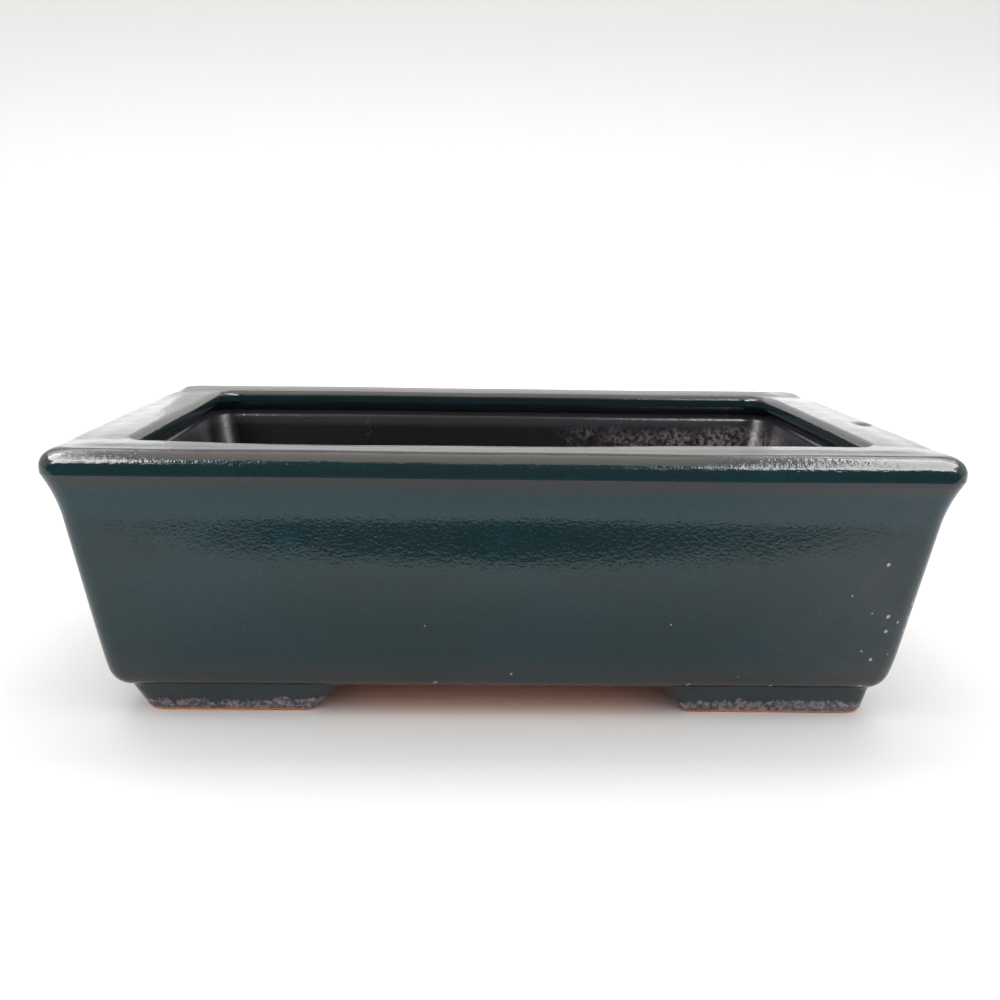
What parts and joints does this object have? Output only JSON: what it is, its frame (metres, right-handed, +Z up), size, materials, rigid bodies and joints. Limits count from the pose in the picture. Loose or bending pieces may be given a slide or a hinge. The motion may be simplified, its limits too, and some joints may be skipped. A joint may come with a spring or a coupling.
{
  "type": "bonsai pot",
  "caption": "Small rectangular glazed bonsai pot with a flared rounded lip, leaning walls, low corner feet, drainage holes and wire holes in its floor.",
  "frame": {"origin": "centre of the pot on the surface that it stands on", "axes": "+X along the long side, +Z up, the front faces -Y"},
  "size_m": [0.15, 0.12, 0.0468],
  "materials": {
    "teal_glaze": "glossy dark teal glaze",
    "foot_glaze": "glossy teal glaze, thin and mauve near the bare sole",
    "inner_wash": "thin dark glaze wash, satin",
    "bare_clay": "unglazed terracotta, matt"
  },
  "bodies": {
    "root": {"floor_slab": "bare_clay", "luting_coil": "inner_wash", "wall_front": "teal_glaze", "wall_right": "teal_glaze", "wall_back": "teal_glaze", "wall_left": "teal_glaze", "rim_front": "teal_glaze", "rim_right": "teal_glaze", "rim_back": "teal_glaze", "rim_left": "teal_glaze", "foot_front_left": "foot_glaze", "foot_front_right": "foot_glaze", "foot_back_left": "foot_glaze", "foot_back_right": "foot_glaze"}
  },
  "joints": []
}
